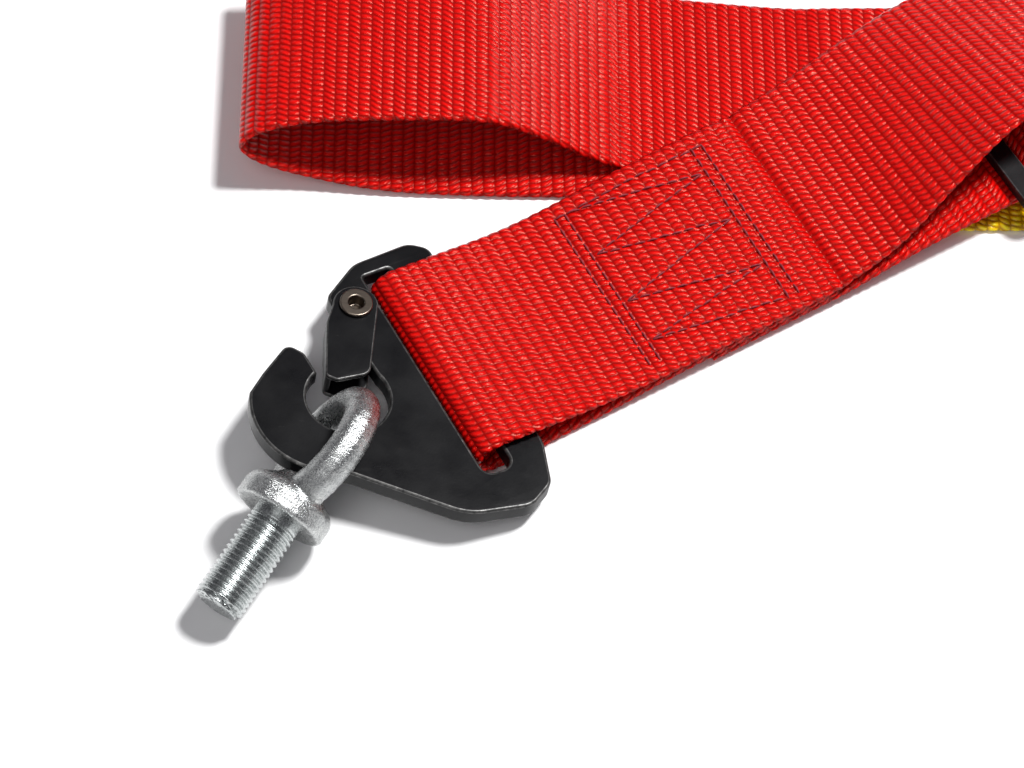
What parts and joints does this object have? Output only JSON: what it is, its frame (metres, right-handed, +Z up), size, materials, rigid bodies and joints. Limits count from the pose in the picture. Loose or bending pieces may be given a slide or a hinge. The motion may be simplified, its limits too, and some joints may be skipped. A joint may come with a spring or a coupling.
{
  "type": "racing harness",
  "caption": "Bundled racing harness: red and yellow webbing, snap hooks on eye bolts, three-bar slides and a rotary buckle.",
  "frame": {"origin": "centre of the bundle's footprint, on the surface it lies on", "axes": "+Z up, +X along the folded shoulder strap"},
  "size_m": [0.4668, 0.2265, 0.0305],
  "materials": {
    "red_webbing": "woven polyester",
    "yellow_webbing": "woven polyester",
    "black_steel": "satin black oxide",
    "rivet_metal": "dark plated steel",
    "zinc_plate": "zinc plated steel",
    "latch_steel": "ground steel",
    "spring_wire": "drawn wire",
    "black_alloy": "satin black anodised"
  },
  "bodies": {
    "webbing": {"lap_strap": "red_webbing", "shoulder_strap": "red_webbing", "yellow_strap": "yellow_webbing", "slide_frame_a": "black_steel", "slide_frame_b": "black_steel", "tongue_a": "latch_steel", "tongue_b": "latch_steel", "buckle_base": "black_alloy", "buckle_cover": "black_alloy", "buckle_spring": "spring_wire", "buckle_screws": "latch_steel"},
    "hook_a": {"hook_plate_a": "black_steel", "gate_rivet_a": "rivet_metal", "gate_spring_a": "spring_wire"},
    "gate_a": {"gate_a": "black_steel"},
    "eye_a": {"eye_bolt_a": "zinc_plate"},
    "bar_a": {"slide_bar_a": "black_steel"},
    "hook_b": {"hook_plate_b": "black_steel", "gate_rivet_b": "rivet_metal", "gate_spring_b": "spring_wire"},
    "gate_b": {"gate_b": "black_steel"},
    "eye_b": {"eye_bolt_b": "zinc_plate"},
    "bar_b": {"slide_bar_b": "black_steel"},
    "knob": {"buckle_knob": "black_alloy", "buckle_cam": "latch_steel"},
    "latch_pins": {"latch_pin_1": "latch_steel", "latch_pin_2": "latch_steel", "latch_pin_3": "latch_steel", "latch_pin_4": "latch_steel"}
  },
  "joints": [
    {"name": "hook_a_shift", "type": "slide", "parent": "webbing", "child": "hook_a", "axis": [-0.4848, 0.8746, 0], "range_m": [-0.0015, 0.0015]},
    {"name": "gate_a_swing", "type": "hinge", "parent": "hook_a", "child": "gate_a", "pos_m": [-0.2025, -0.04023, 0.00802], "axis": [0.1594, 0.0883, 0.9833], "range_deg": [0, 28], "stiffness_Nm_per_rad": 0.05, "springref_deg": -17.19},
    {"name": "eye_a_swing", "type": "hinge", "parent": "hook_a", "child": "eye_a", "pos_m": [-0.2074, -0.077, 0.0141], "axis": [-0.7359, 0.3709, 0.5665], "range_deg": [0, 70]},
    {"name": "bar_a_shift", "type": "slide", "parent": "webbing", "child": "bar_a", "axis": [0.8746, 0.4848, 0], "range_m": [-0.0008, 0.0008]},
    {"name": "hook_b_shift", "type": "slide", "parent": "webbing", "child": "hook_b", "axis": [0, -1, 0], "range_m": [-0.0015, 0.0015]},
    {"name": "gate_b_swing", "type": "hinge", "parent": "hook_b", "child": "gate_b", "pos_m": [0.17357, -0.009, 0.00802], "axis": [-0.1822, 0, 0.9833], "range_deg": [0, 28], "stiffness_Nm_per_rad": 0.05, "springref_deg": -17.19},
    {"name": "eye_b_swing", "type": "hinge", "parent": "hook_b", "child": "eye_b", "pos_m": [0.19568, 0.02079, 0.0141], "axis": [0.4638, -0.6811, 0.5665], "range_deg": [0, 70]},
    {"name": "bar_b_shift", "type": "slide", "parent": "webbing", "child": "bar_b", "axis": [1, 0, 0], "range_m": [-0.0008, 0.0008]},
    {"name": "knob_turn", "type": "hinge", "parent": "webbing", "child": "knob", "pos_m": [0.06317, 0.08417, 0], "axis": [0, 0, 1], "range_deg": [0, 30], "stiffness_Nm_per_rad": 0.1, "springref_deg": -11.46},
    {"name": "pin_lift", "type": "slide", "parent": "webbing", "child": "latch_pins", "axis": [0, 0, 1], "range_m": [0, 0.0045]}
  ],
  "couplings": [
    {"joint": "pin_lift", "follows": "knob_turn", "m_per_rad": 0.0085944}
  ]
}
